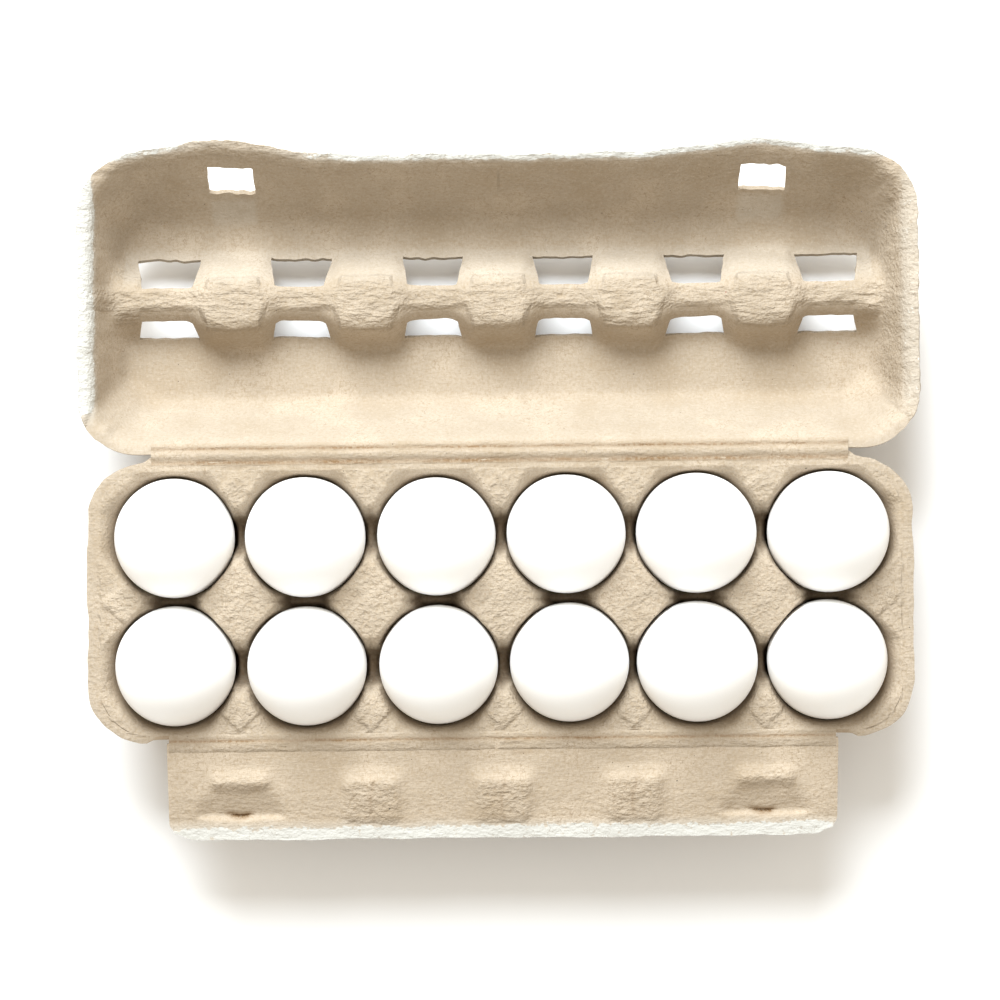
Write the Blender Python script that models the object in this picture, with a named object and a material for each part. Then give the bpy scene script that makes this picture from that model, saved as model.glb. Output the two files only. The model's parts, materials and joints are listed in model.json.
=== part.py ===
"""A moulded-pulp egg carton, lying open, with its twelve eggs.

Frame: metres, +X along the carton, +Y towards the opened lid, +Z up, origin on the table under the
middle of the whole outline. The tray, the lid and the front flap are pulp sheets that fold along two
living hinges; each is a solid of its own, so that it can turn on its fold line.
"""

import math

import bmesh
import bpy
from mathutils import Vector

MM = 0.001

# ---- pulp sheet ----
PULP = 1.8 * MM                  # thickness of the sheet
STEEPEST = 4.0 * MM              # most that a steep wall measures straight down
FOLD_GAP = 0.3 * MM              # clearance of a sheet's edge to its fold line

# ---- egg grid ----
COLUMNS = 6
ROWS = 2
PITCH_X = 47.7 * MM
PITCH_Y = 46.7 * MM

# ---- tray ----
RIM_HEIGHT = 41.0 * MM
RIM_MARGIN = Vector((1.5 * MM, 1.0 * MM))      # from the egg grid to the inner edge of the rim
TRAY_HALF = Vector((150.0 * MM, 51.1 * MM))    # outline of the rim
TRAY_CORNER = 17.0 * MM                        # corner radius along the rim's inner edge
HINGE_Y = 53.6 * MM                            # lid's fold line, behind the middle of the tray
FOLD_Y = -50.6 * MM                            # flap's fold line, in front of it
FOLD_DROP = 0.3 * MM                           # the flap's fold line lies this far below the rim
FLAP_CLEARANCE = 1.2 * MM                      # tray edge to the flap's fold line, room for it to turn
BAND_HALF = 127.0 * MM                         # half length of the two folded edges

POST_LEG = Vector((13.0 * MM, 15.0 * MM))      # half diagonals of a post's diamond top
POST_TOP = 43.0 * MM
POST_TIP = 41.5 * MM                           # the diamond's four tips lie a little lower
SADDLE_TOP = 26.0 * MM                         # ridge between two neighbouring cups
SADDLE_FLAT = 0.1                              # half length of its level part, as a share of the pitch
OPENING_STEP = 1.2 * MM                        # from a ridge's middle to the edge of the cup
OPENING_RADIUS = 24.4 * MM                     # the cup's mouth across the posts
CUP_RINGS = (                                  # radius and height of the cup's inner wall
    (23.2 * MM, 24.0 * MM),
    (19.8 * MM, 13.0 * MM),
    (12.5 * MM, PULP),
)
CUP_SIDE_STEP = 1.7 * MM                       # the wall's upper ring keeps this far from a ridge

# ---- eggs ----
EGG_LENGTH = 57.0 * MM
EGG_GIRTH = 21.6 * MM
EGG_BLUNTNESS = 0.14                           # how much fuller the upper end is
EGG_FLOOR = PULP + 0.5 * MM
EGG_SIDES = 12
EGG_RINGS = 7
EGG_SETTINGS = (                               # per egg: size, lean to +X and lean to +Y in degrees
    (1.000, 1.0, 0.3), (1.005, 0.8, 0.2), (0.990, 0.9, -0.2),
    (0.995, 0.2, 0.6), (1.005, -0.5, 0.4), (1.015, 0.2, 0.3),
    (1.000, 0.8, 0.4), (0.995, 1.2, -0.3), (0.992, 1.6, -0.2),
    (0.995, 1.5, 0.5), (1.008, -0.6, 0.2), (1.000, -1.2, 0.6),
)

# ---- lid, in its own frame: X along, U from the fold line, W down from the plane of its rim ----
LID_HALF = 152.5 * MM
LID_REACH = 108.3 * MM
LID_DEPTH = 31.0 * MM                          # rim plane to the inside of the floor
LID_CORNER = 21.0 * MM
LID_SKIN = 2.4 * MM                            # the sheet measured straight down at its lowest edge
LID_PITCH = 48.8 * MM                          # pads and windows along the rib
# walls: distance from the edge or from the fold line, and share of the full depth
LID_SIDE_WALL = ((0.0, 0.0), (4.0 * MM, 0.0), (8.4 * MM, 0.50), (13.7 * MM, 1.0))
LID_NEAR_WALL = ((0.3 * MM, 0.0), (4.5 * MM, 0.0), (12.0 * MM, 0.5), (20.7 * MM, 1.0))
LID_FAR_WALL = (                               # the lock holes lie between its third and fourth line
    (82.5 * MM, 1.0), (88.5 * MM, 0.92), (94.9 * MM, 0.60), (101.0 * MM, 0.265), (105.8 * MM, 0.0),
    (108.3 * MM, 0.0),
)
# the rib: front foot, upper edge of the front windows, front edge, middle, back edge and back foot
RIB_ROWS = (45.4 * MM, 51.3 * MM, 54.6 * MM, 58.6 * MM, 63.4 * MM, 75.8 * MM)
RIB_RISE = (0.0, 0.70, 1.0, 1.0, 1.0, 0.0)     # share of its height at each of these
RIB_HEIGHT = 12.4 * MM
PAD_ROWS = (41.8 * MM, 45.6 * MM, 47.6 * MM, 56.5 * MM, 65.5 * MM, 77.3 * MM)
PAD_HEIGHT = 16.2 * MM
PAD_HALF = (12.0 * MM, 9.8 * MM, 9.6 * MM, 12.4 * MM, 9.6 * MM, 12.0 * MM)
WINDOW_HALF = (11.9 * MM, 8.5 * MM, 8.4 * MM, 8.3 * MM, 8.5 * MM, 11.9 * MM)
LOCK_HALF = 8.3 * MM
BULGES = ((-103.0 * MM, 6.0 * MM), (94.0 * MM, 4.5 * MM))    # where the far wall swells, and how far
BULGE_SPREAD = 26.0 * MM
LID_TILT = math.radians(0.8)                   # the stiff fold holds the open lid almost level

# ---- flap, in its own frame: X along, S from the fold line, height above its own plane ----
FLAP_HALF = 121.8 * MM
FLAP_REACH = 37.0 * MM
FLAP_DROOP = math.radians(12.0)
FLAP_ROWS = (0.3 * MM, 9.2 * MM, 14.7 * MM, 21.0 * MM, 28.0 * MM, 29.5 * MM, 37.0 * MM)
FLAP_TOP = 0.5 * MM                            # its upper face lies this far above the fold line
KNOB_HEIGHTS = (0.0, 0.0, 1.5 * MM, -0.4 * MM, -1.8 * MM, 0.0, 0.6 * MM)
BUMP_HEIGHTS = (0.0, 0.0, 1.6 * MM, 1.8 * MM, 1.6 * MM, 0.0, 0.6 * MM)
PLAIN_HEIGHTS = (0.0, 0.0, 0.0, 0.0, 0.0, 0.0, 0.6 * MM)
KNOB_HALF = (9.0 * MM, 9.0 * MM, 9.0 * MM, 11.5 * MM, 10.0 * MM, 10.0 * MM, 10.0 * MM)
BUMP_HALF = 9.0 * MM
BUMP_SKIRT = 4.5 * MM
FLAP_CORNER = 5.0 * MM

PULP_COLOUR = (0.58, 0.49, 0.37)
PULP_INSIDE = (0.62, 0.53, 0.41)
SHELL_COLOUR = (0.90, 0.88, 0.85)


# ---------------------------------------------------------------- scene and materials

def clear_scene():
    for item in list(bpy.data.objects):
        bpy.data.objects.remove(item, do_unlink=True)


def make_material(name, colour, roughness):
    material = bpy.data.materials.new(name)
    material.use_nodes = True
    shader = material.node_tree.nodes["Principled BSDF"]
    shader.inputs["Base Color"].default_value = (*colour, 1.0)
    shader.inputs["Roughness"].default_value = roughness
    shader.inputs["Metallic"].default_value = 0.0
    return material


def place_object(name, mesh, material, location, turn_x=0.0):
    mesh.materials.append(material)
    item = bpy.data.objects.new(name, mesh)
    item.location = location
    item.rotation_euler = (turn_x, 0.0, 0.0)
    bpy.context.scene.collection.objects.link(item)
    return item


# ---------------------------------------------------------------- pulp sheets

def sheet_mesh(name, patches, lowest=-1.0):
    """A closed sheet: its upper face is the given patches, its lower face lies straight below.

    Each patch is a list of points, counter-clockwise seen from above. The drop grows with the slope,
    so that the sheet keeps its thickness, and no drop goes below the height `lowest`.
    """
    work = bmesh.new()
    for patch in patches:
        work.faces.new([work.verts.new(point) for point in patch])
    bmesh.ops.remove_doubles(work, verts=work.verts, dist=0.01 * MM)
    work.normal_update()
    upper = list(work.verts)
    drops = [min(PULP / max(vert.normal.z, 0.05), STEEPEST) for vert in upper]
    under = {}
    for vert, drop in zip(upper, drops):
        under[vert] = work.verts.new((vert.co.x, vert.co.y, max(vert.co.z - drop, lowest)))
    borders = [edge for edge in work.edges if edge.is_boundary]
    for face in list(work.faces):
        work.faces.new([under[vert] for vert in reversed(face.verts)])
    for edge in borders:
        first, second = edge.verts
        work.faces.new((first, second, under[second], under[first]))
    bmesh.ops.recalc_face_normals(work, faces=work.faces)
    mesh = bpy.data.meshes.new(name)
    work.to_mesh(mesh)
    work.free()
    mesh.shade_smooth()
    mesh.set_sharp_from_angle(angle=math.radians(40.0))
    return mesh


def grid_patches(points, is_open):
    """The four-cornered patches of a table of points, without those that `is_open` names."""
    patches = []
    for row in range(len(points) - 1):
        for column in range(len(points[0]) - 1):
            if not is_open(row, column):
                patches.append((
                    points[row][column], points[row][column + 1],
                    points[row + 1][column + 1], points[row + 1][column],
                ))
    return patches


# ---------------------------------------------------------------- tray

def grid_edge():
    """Half size of the rim's inner edge."""
    return Vector((COLUMNS * PITCH_X / 2, ROWS * PITCH_Y / 2)) + RIM_MARGIN


def rounded(point):
    """A point of the rim's inner edge, moved onto its rounded corner."""
    centre = grid_edge() - Vector((TRAY_CORNER, TRAY_CORNER))
    reach = Vector((abs(point.x) - centre.x, abs(point.y) - centre.y))
    if reach.x <= 0.0 or reach.y <= 0.0:
        return point.copy()
    reach = centre + reach.normalized() * TRAY_CORNER
    return Vector((math.copysign(reach.x, point.x), math.copysign(reach.y, point.y)))


def side_shares(start, end):
    """Where a cell's side has its points, as shares from its start: post, tip and level saddle."""
    leg = POST_LEG.x / PITCH_X if abs(start.x - end.x) > abs(start.y - end.y) else POST_LEG.y / PITCH_Y
    shares = [0.0, leg, 0.5 - SADDLE_FLAT, 0.5 + SADDLE_FLAT, 1.0 - leg]
    if is_outer_corner(start):
        shares.insert(1, leg / 2)
    if is_outer_corner(end):
        shares.append(1.0 - leg / 2)
    return shares


def is_outer_corner(point):
    edge = grid_edge()
    return abs(point.x) > edge.x - MM and abs(point.y) > edge.y - MM


def on_rim(point):
    edge = grid_edge()
    return abs(point.x) > edge.x - 0.1 * MM or abs(point.y) > edge.y - 0.1 * MM


def ridge_height(point, share):
    """Height of the ridge between cells: the rim, a post, a post's tip or a saddle."""
    if on_rim(point):
        return RIM_HEIGHT
    nearest = min(share, 1.0 - share)
    if nearest < 0.01:
        return POST_TOP
    return POST_TIP if nearest < 0.35 else SADDLE_TOP


def cell_corners(column, row):
    """The cell's corners, counter-clockwise; those on the tray's edge reach out to the rim."""
    edge = grid_edge()
    xs = [(column + k - COLUMNS / 2) * PITCH_X for k in (0, 1)]
    ys = [(row + k - ROWS / 2) * PITCH_Y for k in (0, 1)]
    xs = [math.copysign(edge.x, x) if abs(x) > edge.x - 2 * RIM_MARGIN.x else x for x in xs]
    ys = [math.copysign(edge.y, y) if abs(y) > edge.y - 2 * RIM_MARGIN.y else y for y in ys]
    return [Vector((xs[a], ys[b])) for a, b in ((0, 0), (1, 0), (1, 1), (0, 1))]


def cell_outline(column, row):
    """The points round a cell, each with its height."""
    corners = cell_corners(column, row)
    outline = []
    for start, end in zip(corners, corners[1:] + corners[:1]):
        for share in side_shares(start, end):
            square = start.lerp(end, share)
            outline.append((rounded(square), ridge_height(square, share)))
    return outline


def cell_centre(column, row):
    return Vector(((column - (COLUMNS - 1) / 2) * PITCH_X, (row - (ROWS - 1) / 2) * PITCH_Y))


def cup_rings(column, row):
    """The cell's rings of points, from its ridges down to its foot."""
    centre = cell_centre(column, row)
    outline = cell_outline(column, row)
    rings = [[(point.x, point.y, height) for point, height in outline]]
    spokes = [(point - centre, height) for point, height in outline]
    mouth = []
    for spoke, height in spokes:
        reach = min(spoke.length - OPENING_STEP, OPENING_RADIUS)
        place = centre + spoke.normalized() * reach
        mouth.append((place.x, place.y, height - 0.5 * MM))
    rings.append(mouth)
    for radius, height in CUP_RINGS:
        ring = []
        for spoke, _ in spokes:
            place = centre + spoke.normalized() * min(spoke.length - CUP_SIDE_STEP, radius)
            ring.append((place.x, place.y, height))
        rings.append(ring)
    return rings


def ring_patches(rings):
    """Patches between one ring and the next, and the flat foot inside the last."""
    patches = [tuple(rings[-1])]
    for outer, inner in zip(rings, rings[1:]):
        for k in range(len(outer)):
            after = (k + 1) % len(outer)
            patches.append((outer[k], outer[after], inner[after], inner[k]))
    return patches


def rim_outside(point):
    """The outer edge of the rim beside a point of its inner edge."""
    edge = grid_edge()
    centre = edge - Vector((TRAY_CORNER, TRAY_CORNER))
    place = []
    for axis in (0, 1):
        size = abs(point[axis])
        if size > centre[axis]:
            size = centre[axis] + (size - centre[axis]) * (TRAY_HALF[axis] - centre[axis]) / TRAY_CORNER
        place.append(math.copysign(size, point[axis]))
    if abs(point.x) < BAND_HALF and abs(point.y) > edge.y - 0.1 * MM:
        place[1] = HINGE_Y - FOLD_GAP if point.y > 0 else FOLD_Y + FLAP_CLEARANCE
    return place[0], place[1], RIM_HEIGHT


def rim_patches():
    """The flat rim outside the cells."""
    patches = []
    for column in range(COLUMNS):
        for row in range(ROWS):
            corners = cell_corners(column, row)
            for start, end in zip(corners, corners[1:] + corners[:1]):
                if not (on_rim(start) and on_rim(end) and on_rim(start.lerp(end, 0.5))):
                    continue
                inner = [rounded(start.lerp(end, share)) for share in side_shares(start, end) + [1.0]]
                for first, second in zip(inner, inner[1:]):
                    patches.append((
                        (first.x, first.y, RIM_HEIGHT), rim_outside(first),
                        rim_outside(second), (second.x, second.y, RIM_HEIGHT),
                    ))
    return patches


def build_tray(material, tray_y):
    patches = rim_patches()
    for column in range(COLUMNS):
        for row in range(ROWS):
            patches += ring_patches(cup_rings(column, row))
    return place_object("tray", sheet_mesh("tray", patches, 0.0), material, (0.0, tray_y, 0.0))


# ---------------------------------------------------------------- eggs

def egg_mesh():
    """A hen's egg standing on its narrow end, with the origin at its foot."""
    work = bmesh.new()
    rings = []
    for k in range(1, EGG_RINGS):
        along = -math.cos(math.pi * k / EGG_RINGS)
        radius = EGG_GIRTH * math.sqrt(1.0 - along * along) * (1.0 + EGG_BLUNTNESS * along)
        height = EGG_LENGTH / 2 * (1.0 + along)
        turns = [2 * math.pi * n / EGG_SIDES for n in range(EGG_SIDES)]
        rings.append([work.verts.new((radius * math.cos(a), radius * math.sin(a), height)) for a in turns])
    for lower, upper in zip(rings, rings[1:]):
        for n in range(EGG_SIDES):
            after = (n + 1) % EGG_SIDES
            work.faces.new((lower[n], lower[after], upper[after], upper[n]))
    for ring, height in ((rings[0], 0.0), (rings[-1], EGG_LENGTH)):
        pole = work.verts.new((0.0, 0.0, height))
        for n in range(EGG_SIDES):
            work.faces.new((ring[n], ring[(n + 1) % EGG_SIDES], pole))
    bmesh.ops.recalc_face_normals(work, faces=work.faces)
    mesh = bpy.data.meshes.new("egg")
    work.to_mesh(mesh)
    work.free()
    mesh.shade_smooth()
    return mesh


def build_eggs(material, tray_y):
    mesh = egg_mesh()
    mesh.materials.append(material)
    cells = [(column, row) for row in (1, 0) for column in range(COLUMNS)]
    for number, ((column, row), (size, lean_x, lean_y)) in enumerate(zip(cells, EGG_SETTINGS), 1):
        centre = cell_centre(column, row)
        egg = bpy.data.objects.new(f"egg_{number}", mesh)
        egg.location = (centre.x, centre.y + tray_y, EGG_FLOOR)
        egg.rotation_euler = (math.radians(-lean_y), math.radians(lean_x), 0.0)
        egg.scale = (size, size, size)
        bpy.context.scene.collection.objects.link(egg)


# ---------------------------------------------------------------- lid

def lid_columns():
    """The lid's lines across, from -X to +X: what each belongs to, its place and its side or share."""
    lines = [("wall", inset - LID_HALF, share) for inset, share in LID_SIDE_WALL]
    for k in range(COLUMNS):
        centre = (k - (COLUMNS - 1) / 2) * LID_PITCH
        lines += [("window", centre, -1.0), ("window", centre, 1.0)]
        if k < COLUMNS - 1:
            pad = centre + LID_PITCH / 2
            lines += [("pad", pad, -1.0), ("pad", pad, 1.0)]
    lines += [("wall", LID_HALF - inset, share) for inset, share in reversed(LID_SIDE_WALL)]
    return lines


def lid_rows():
    """The lid's lines along: (part, number) pairs from the fold line outwards."""
    rows = [("near", k) for k in range(len(LID_NEAR_WALL))]
    rows += [("rib", k) for k in range(len(RIB_ROWS))]
    rows += [("far", k) for k in range(len(LID_FAR_WALL))]
    return rows


def lid_place(column, row):
    """X and U of a grid point before the corners are rounded, and its share of the full depth."""
    kind, centre, side = column
    part, number = row
    share = 1.0
    if part == "rib":
        u = PAD_ROWS[number] if kind == "pad" else RIB_ROWS[number]
        half = PAD_HALF[number] if kind == "pad" else WINDOW_HALF[number]
    else:
        u, share = (LID_NEAR_WALL if part == "near" else LID_FAR_WALL)[number]
        half = LOCK_HALF if kind == "pad" else WINDOW_HALF[0]
    if kind == "wall":
        return centre, u, min(share, side)
    return centre + side * half, u, share


def lid_corner(x, u):
    """Rounds the lid's four corners: square rings about a corner's centre become round ones."""
    middle = LID_REACH / 2
    reach_x = abs(x) - (LID_HALF - LID_CORNER)
    reach_u = abs(u - middle) - (middle - LID_CORNER)
    if reach_x <= 0.0 or reach_u <= 0.0:
        return x, u
    scale = max(reach_x, reach_u) / math.hypot(reach_x, reach_u)
    round_x = LID_HALF - LID_CORNER + reach_x * scale
    round_u = middle - LID_CORNER + reach_u * scale
    return math.copysign(round_x, x), middle + math.copysign(round_u, u - middle)


def far_bulge(x):
    """How far the far wall swells outwards beside each lock hole."""
    return sum(size * math.exp(-((x - centre) / BULGE_SPREAD) ** 2) for centre, size in BULGES)


def lid_point(column, row):
    kind = column[0]
    part, number = row
    x, u, share = lid_place(column, row)
    depth = LID_DEPTH * share
    if part == "rib":
        depth = min(depth, LID_DEPTH - RIB_RISE[number] * (PAD_HEIGHT if kind == "pad" else RIB_HEIGHT))
    x, u = lid_corner(x, u)
    if part == "far":
        u += far_bulge(x) * (1.0 - share)
    return x, u, -depth


def lid_is_open(row, column, rows, columns):
    """True for the windows in the rib's slopes and for the two lock holes in the far wall."""
    first, second = columns[column], columns[column + 1]
    same = first[0] == second[0] and first[1] == second[1]
    slope = rows[row] in (("rib", 0), ("rib", len(RIB_ROWS) - 2))
    if slope and same and first[0] == "window":
        return True
    outermost = abs(abs(first[1]) - (COLUMNS / 2 - 1) * LID_PITCH) < MM
    return rows[row] == ("far", 2) and same and first[0] == "pad" and outermost


def build_lid(material, tray_y):
    columns = lid_columns()
    rows = lid_rows()
    points = [[lid_point(column, row) for column in columns] for row in rows]
    patches = grid_patches(points, lambda row, column: lid_is_open(row, column, rows, columns))
    location = (0.0, tray_y + HINGE_Y, RIM_HEIGHT + FOLD_GAP)
    return place_object("lid", sheet_mesh("lid", patches), material, location, -LID_TILT)


# ---------------------------------------------------------------- flap

def flap_lines():
    """The flap's lines across: X for each row, and which heights they follow."""
    count = len(FLAP_ROWS)
    lines = [([-FLAP_HALF] * count, PLAIN_HEIGHTS)]
    for k in range(COLUMNS - 1):
        centre = (k - (COLUMNS - 2) / 2) * PITCH_X
        is_knob = k in (0, COLUMNS - 2)
        halves = KNOB_HALF if is_knob else [BUMP_HALF] * count
        heights = KNOB_HEIGHTS if is_knob else BUMP_HEIGHTS
        lines.append(([centre - half - BUMP_SKIRT for half in halves], PLAIN_HEIGHTS))
        lines.append(([centre - half for half in halves], heights))
        lines.append(([centre + half for half in halves], heights))
        lines.append(([centre + half + BUMP_SKIRT for half in halves], PLAIN_HEIGHTS))
    lines.append(([FLAP_HALF] * count, PLAIN_HEIGHTS))
    return lines


def build_flap(material, tray_y):
    points = []
    for row, reach in enumerate(FLAP_ROWS):
        line = []
        for xs, heights in flap_lines():
            at_corner = row == len(FLAP_ROWS) - 1 and abs(xs[row]) == FLAP_HALF
            inset = FLAP_CORNER if at_corner else 0.0
            x = math.copysign(abs(xs[row]) - inset, xs[row])
            line.append((x, -reach, heights[row] + FLAP_TOP))
        points.append(line[::-1])
    patches = grid_patches(points, lambda row, column: False)
    location = (0.0, tray_y + FOLD_Y, RIM_HEIGHT - FOLD_DROP)
    return place_object("flap", sheet_mesh("flap", patches), material, location, FLAP_DROOP)


# ---------------------------------------------------------------- whole carton

def tray_offset():
    """Where the tray's middle lies in Y, for the origin to be under the middle of the outline."""
    far_x = max(BULGES, key=lambda bulge: bulge[1])[0]
    far = HINGE_Y + (LID_REACH + far_bulge(far_x)) * math.cos(LID_TILT)
    lip = KNOB_HEIGHTS[-1] + FLAP_TOP
    near = FOLD_Y - FLAP_REACH * math.cos(FLAP_DROOP) - lip * math.sin(FLAP_DROOP)
    return -(far + near) / 2


def main():
    clear_scene()
    tray_y = tray_offset()
    build_tray(make_material("pulp_tray", PULP_COLOUR, 0.95), tray_y)
    build_lid(make_material("pulp_lid", PULP_INSIDE, 0.95), tray_y)
    build_flap(make_material("pulp_flap", PULP_INSIDE, 0.95), tray_y)
    build_eggs(make_material("eggshell", SHELL_COLOUR, 0.45), tray_y)
    print("tray middle y", round(tray_y, 6))


main()
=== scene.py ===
"""The finish of an open pulp egg carton with its twelve eggs, laid out as a Blender add-on.

Lengths are metres, +X runs along the carton and +Y towards the opened lid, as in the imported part. The
sheets of pulp start as grids, which take the carton's shape, are roughened and get their thickness.
"""

import json
import math

import bpy
import numpy as np
from bpy.props import FloatProperty, FloatVectorProperty, PointerProperty
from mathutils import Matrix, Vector, noise


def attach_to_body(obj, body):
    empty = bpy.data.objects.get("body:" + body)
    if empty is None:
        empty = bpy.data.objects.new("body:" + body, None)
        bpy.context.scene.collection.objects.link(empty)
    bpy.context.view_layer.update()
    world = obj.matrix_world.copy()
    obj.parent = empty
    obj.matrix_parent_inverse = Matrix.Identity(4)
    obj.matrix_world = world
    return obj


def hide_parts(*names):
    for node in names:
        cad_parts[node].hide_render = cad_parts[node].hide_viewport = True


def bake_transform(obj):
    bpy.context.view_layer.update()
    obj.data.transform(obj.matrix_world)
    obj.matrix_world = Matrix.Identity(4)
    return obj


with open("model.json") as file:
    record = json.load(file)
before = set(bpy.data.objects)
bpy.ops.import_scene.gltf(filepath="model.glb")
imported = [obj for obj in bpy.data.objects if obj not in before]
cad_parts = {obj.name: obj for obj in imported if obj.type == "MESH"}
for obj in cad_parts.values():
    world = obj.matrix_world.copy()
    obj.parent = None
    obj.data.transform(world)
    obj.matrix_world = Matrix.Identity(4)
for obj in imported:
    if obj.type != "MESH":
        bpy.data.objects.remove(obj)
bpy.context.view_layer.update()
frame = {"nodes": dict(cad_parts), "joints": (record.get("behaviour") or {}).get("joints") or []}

bl_info = {
    "name": "Egg carton",
    "version": (1, 0, 0),
    "blender": (4, 5, 0),
    "location": "3D View > Sidebar > Egg carton",
    "description": "Builds an open pulp carton with twelve eggs round its packed part",
    "category": "Add Mesh",
}

MM = 0.001

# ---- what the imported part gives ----
JOINTS = {joint["name"]: joint for joint in frame["joints"]}
HINGE = Vector(JOINTS["lid_hinge"]["pos_m"])
FOLD = Vector(JOINTS["flap_hinge"]["pos_m"])
LID_TILT = math.radians(JOINTS["lid_hinge"]["range_deg"][1] - 180.0)
TRAY_Y = HINGE.y - 53.6 * MM

# ---- tray ----
COLUMNS, ROWS = 6, 2
PITCH_X, PITCH_Y = 47.7 * MM, 46.7 * MM
RIM_HEIGHT = 41.0 * MM
EDGE_X = COLUMNS * PITCH_X / 2 + 2.2 * MM
EDGE_Y = ROWS * PITCH_Y / 2 + 1.3 * MM
TRAY_HALF = Vector((150.0 * MM, 51.1 * MM))
TRAY_CORNER = 17.0 * MM
BAND_HALF = 127.0 * MM
BAND_BACK = 53.3 * MM
BAND_FRONT = -49.4 * MM
# half diagonals of a post's top, by whether it stands at an end and whether at a long side
POST_LEGS = {
    (False, False): (13.6, 15.5), (False, True): (9.8, 15.0), (True, False): (16.0, 15.5),
    (True, True): (14.2, 14.2),
}
POST_TOP, POST_TIP, SADDLE_TOP = 43.0 * MM, 41.8 * MM, 26.0 * MM
SIDE_POINTS = 24

# ---- lid: X along, U out from the fold line, depth down from the plane of its rim ----
LID_HALF = 152.5 * MM
LID_REACH = 108.3 * MM
LID_DEPTH = 31.0 * MM
LID_CORNER = 21.0 * MM
LID_PITCH = 48.8 * MM
SIDE_WALL = ((0.0, 0.0), (4.6, 0.0), (8.6, 0.50), (13.7, 1.0))
NEAR_WALL = ((0.3, 0.0), (4.5, 0.0), (12.0, 0.5), (20.7, 1.0))
FAR_WALL = ((82.5, 1.0), (88.5, 0.92), (94.9, 0.60), (101.0, 0.265), (105.8, 0.0), (108.3, 0.0))
RIB_ROWS = (44.4, 50.2, 53.6, 57.8, 62.4, 73.4)
PAD_ROWS = (41.0, 44.6, 47.0, 56.0, 65.0, 75.8)
PAD_HALF = (12.4, 9.6, 9.4, 12.8, 9.2, 12.0)
WINDOW_HALF = (12.0, 8.4, 8.4, 8.3, 8.3, 12.4)
RIB_RISE = (0.0, 0.70, 1.0, 1.0, 1.0, 0.0)
RIB_HEIGHT, PAD_HEIGHT = 12.4 * MM, 16.2 * MM
PAD_MIDDLE, RIB_MIDDLE = 56.0 * MM, 58.4 * MM
LOCK_HALF = 8.1
LOCKS = (0, COLUMNS - 2)
FACET_INSET, FACET_SLOPE = 13.0 * MM, 1.75
BULGES = ((-103.0 * MM, 6.0 * MM), (94.0 * MM, 4.5 * MM))
BULGE_SPREAD = 26.0 * MM

# ---- flap: X along, S out from the fold line ----
FLAP_HALF = 121.8 * MM
FLAP_REACH = 37.0 * MM
FLAP_DROOP = math.radians(12.0)
FLAP_TOP = 0.5 * MM
# the flap's pulp made paler as painted light, to make up for its droop away from the light
FLAP_PAINTED_BRIGHTENING = 1.14


# ---------------------------------------------------------------- what a user may change

class CartonSizes(bpy.types.PropertyGroup):
    pulp: FloatProperty(
        name="Pulp", description="Thickness of the moulded sheet", default=1.8 * MM,
        min=0.8 * MM, max=2.5 * MM, unit="LENGTH")
    roughness: FloatProperty(
        name="Lumps", description="Height of the fibre lumps on posts and pads", default=0.75 * MM,
        min=0.0, max=1.5 * MM, unit="LENGTH")
    waviness: FloatProperty(
        name="Waviness", description="How far the torn edges wander", default=0.55 * MM,
        min=0.0, max=1.5 * MM, unit="LENGTH")
    egg_girth: FloatProperty(
        name="Egg", description="Widest radius of an egg", default=21.6 * MM,
        min=19.0 * MM, max=22.0 * MM, unit="LENGTH")


class CartonColours(bpy.types.PropertyGroup):
    pulp: FloatVectorProperty(
        name="Pulp", description="Colour of the pressed pulp", subtype="COLOR", size=3,
        min=0.0, max=1.0, default=(0.392, 0.325, 0.248))
    # painted shade: the brown that cup bottoms, saddles, grooves, slits and fold valleys are darkened towards
    painted_shade: FloatVectorProperty(
        name="Crease", description="Colour of folds and worn grooves", subtype="COLOR", size=3,
        min=0.0, max=1.0, default=(0.23, 0.145, 0.075))
    shell: FloatVectorProperty(
        name="Eggshell", description="Colour of the eggs", subtype="COLOR", size=3,
        min=0.0, max=1.0, default=(0.93, 0.925, 0.915))
    floor: FloatVectorProperty(
        name="Floor", description="Colour of the floor", subtype="COLOR", size=3,
        min=0.0, max=1.0, default=(0.92, 0.92, 0.92))


# ---------------------------------------------------------------- shader maths

class Wire:
    """A shader value: expressions on wires add the nodes that work them out."""

    def __init__(self, tree, socket):
        self.tree = tree
        self.socket = socket

    def node(self, kind, settings=None, inputs=None, output=0):
        """A node of that kind; its settings come first, then the values or links of its sockets."""
        made = self.tree.nodes.new(kind)
        for name, value in (settings or {}).items():
            setattr(made, name, value)
        for key, value in (inputs or {}).items():
            if isinstance(value, Wire):
                self.tree.links.new(value.socket, made.inputs[key])
            else:
                made.inputs[key].default_value = value
        return Wire(self.tree, made.outputs[output])

    def maths(self, operation, *values):
        return self.node("ShaderNodeMath", {"operation": operation}, dict(enumerate(values)))

    def __add__(self, other):
        return self.maths("ADD", self, other)

    def __sub__(self, other):
        return self.maths("SUBTRACT", self, other)

    def __mul__(self, other):
        return self.maths("MULTIPLY", self, other)

    __radd__ = __add__
    __rmul__ = __mul__

    def above(self, low, high):
        """0 below low, 1 above high, smooth between."""
        return self.node(
            "ShaderNodeMapRange", {"interpolation_type": "SMOOTHSTEP"},
            {"Value": self, "From Min": low, "From Max": high})

    def grain(self, size, detail=2.0, stretch=None):
        """Noise with spots of that size, on a place."""
        place = self
        if stretch:
            place = self.node("ShaderNodeVectorMath", {"operation": "MULTIPLY"}, {0: self, 1: stretch})
        return self.node(
            "ShaderNodeTexNoise", {}, {"Vector": place, "Scale": 1.0 / size, "Detail": detail})

    def sibling(self, output):
        """Another output of the node that this value comes from."""
        return Wire(self.tree, self.socket.node.outputs[output])

    def mixed(self, other, share):
        """A colour that goes from this one to the other."""
        return self.node(
            "ShaderNodeMix", {"data_type": "RGBA"}, {0: share, 6: self, 7: other}, output=2)


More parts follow.
